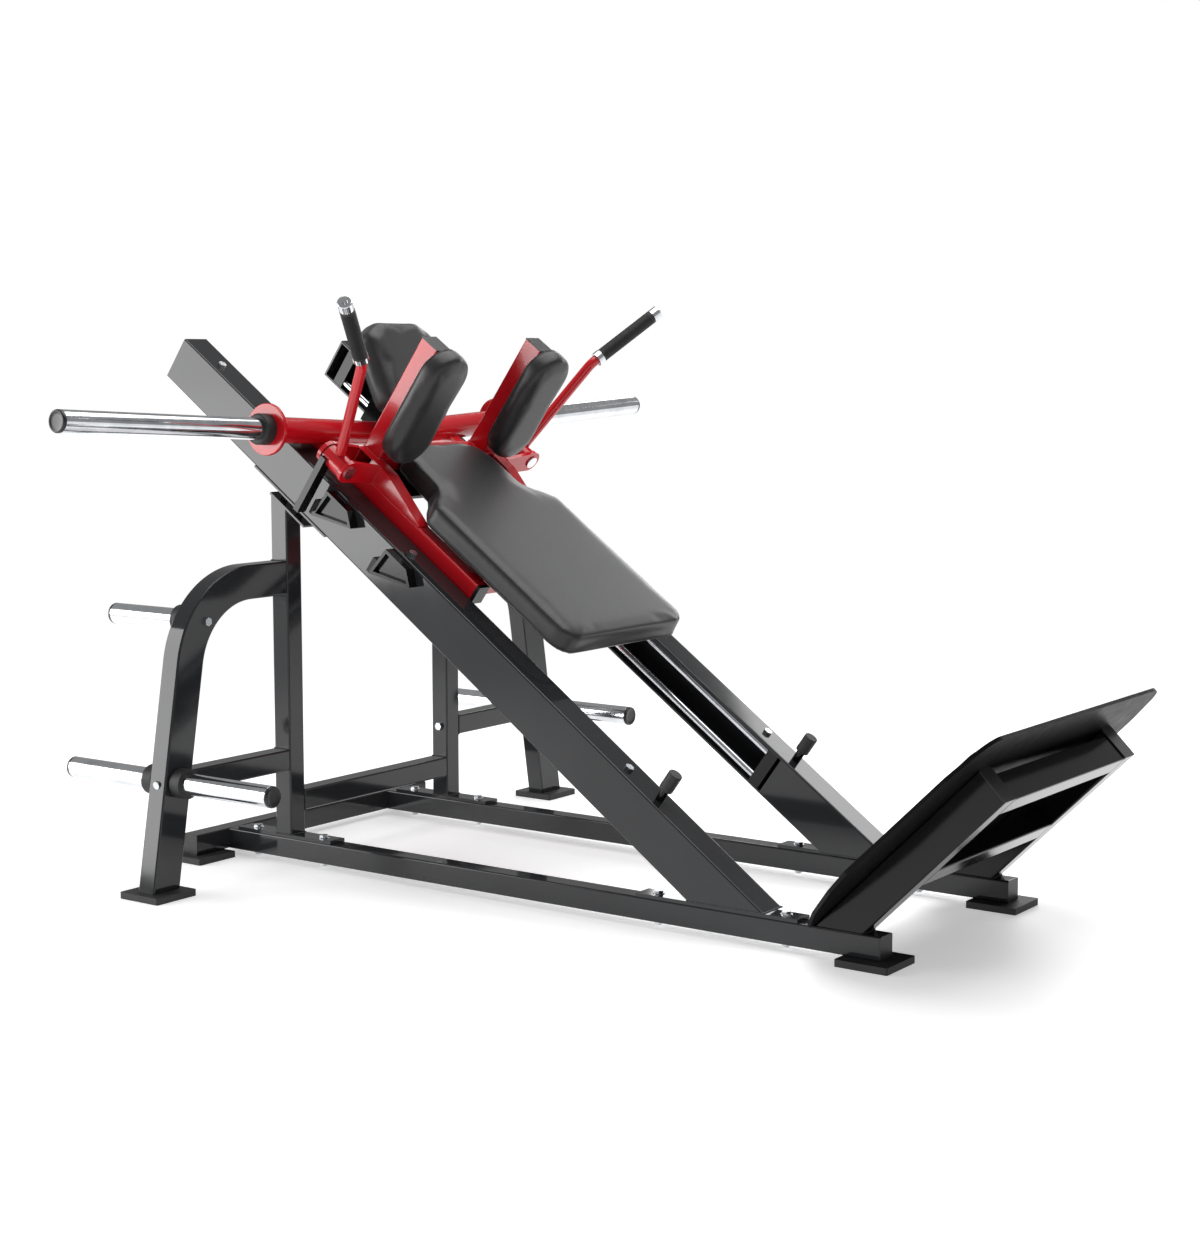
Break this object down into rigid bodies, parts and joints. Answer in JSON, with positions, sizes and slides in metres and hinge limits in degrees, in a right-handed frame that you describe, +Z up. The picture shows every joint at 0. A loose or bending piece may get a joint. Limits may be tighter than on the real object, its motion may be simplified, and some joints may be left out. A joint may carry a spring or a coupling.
{
  "type": "hack squat machine",
  "caption": "Plate-loaded inclined squat sled: padded carriage on two sloping rails, tilted foot plate, swing-out release handles, safety stops and plate storage horns.",
  "frame": {"origin": "on the floor, midway along the overall length, on the plane of symmetry", "axes": "+X towards the foot plate, +Y to the left of a user who leans on the back pad facing the foot plate, +Z up"},
  "size_m": [2.256, 2.0992, 1.3366],
  "materials": {
    "graphite_paint": "gloss graphite powder coat",
    "black_paint": "gloss black powder coat",
    "red_paint": "gloss red powder coat",
    "chrome": "polished chrome plate",
    "black_rubber": "moulded rubber",
    "black_plastic": "moulded plastic",
    "upholstery": "smooth upholstery vinyl",
    "zinc": "zinc plated"
  },
  "bodies": {
    "frame": {"band_peg_heads": "black_rubber", "band_peg_necks": "black_paint", "base_plates": "graphite_paint", "base_rails": "graphite_paint", "beam_end_plates": "graphite_paint", "beam_saddle_plates": "graphite_paint", "cross_brace": "graphite_paint", "floor_pads": "black_rubber", "foot_lower_tube": "black_paint", "foot_plate": "black_paint", "foot_side_tubes": "black_paint", "foot_top_tube": "black_paint", "foot_tread_mat": "black_rubber", "frame_bolts": "zinc", "guide_rods": "chrome", "left_inclined_beam": "graphite_paint", "left_leg": "graphite_paint", "leg_struts": "graphite_paint", "rear_cross_beam": "graphite_paint", "right_inclined_beam": "graphite_paint", "right_leg": "graphite_paint", "rod_end_blocks": "black_paint", "safety_stops": "black_paint", "stop_rubber_pads": "black_rubber", "storage_horn_caps": "black_plastic", "storage_horn_collars": "black_rubber", "storage_horns": "chrome", "tube_end_plugs": "black_plastic", "uprights": "graphite_paint"},
    "carriage": {"carriage_side_tubes": "red_paint", "carriage_cross_tube": "red_paint", "carriage_gussets": "red_paint", "carriage_lower_tube": "red_paint", "load_bar": "red_paint", "load_flanges": "red_paint", "load_sleeves": "chrome", "load_bumpers": "black_rubber", "load_sleeve_caps": "black_plastic", "carriage_end_caps": "black_plastic", "pad_shelf": "black_paint", "back_pad_board": "black_plastic", "back_pad": "upholstery", "left_shoulder_pad": "upholstery", "right_shoulder_pad": "upholstery", "shoulder_posts": "red_paint", "head_pad": "upholstery", "head_pad_bracket": "black_paint", "bearing_blocks": "red_paint", "pivot_ears": "red_paint", "pivot_pins": "chrome", "pivot_washers": "black_plastic"},
    "right_handle": {"right_handle_ferrules": "chrome", "right_handle_grip": "black_rubber", "right_handle_latch": "black_paint", "right_handle_lever": "red_paint"},
    "left_handle": {"left_handle_ferrules": "chrome", "left_handle_grip": "black_rubber", "left_handle_latch": "black_paint", "left_handle_lever": "red_paint"}
  },
  "joints": [
    {"name": "carriage_slide", "type": "slide", "parent": "frame", "child": "carriage", "axis": [0.8121, 0, -0.5835], "range_m": [-0.08, 0.6]},
    {"name": "right_handle_turn", "type": "hinge", "parent": "carriage", "child": "right_handle", "pos_m": [-0.54888, -0.343, 0.96695], "axis": [-0.8121, 0, 0.5835], "range_deg": [-9, 25]},
    {"name": "left_handle_turn", "type": "hinge", "parent": "carriage", "child": "left_handle", "pos_m": [-0.54888, 0.343, 0.96695], "axis": [0.8121, 0, -0.5835], "range_deg": [-9, 25]}
  ]
}
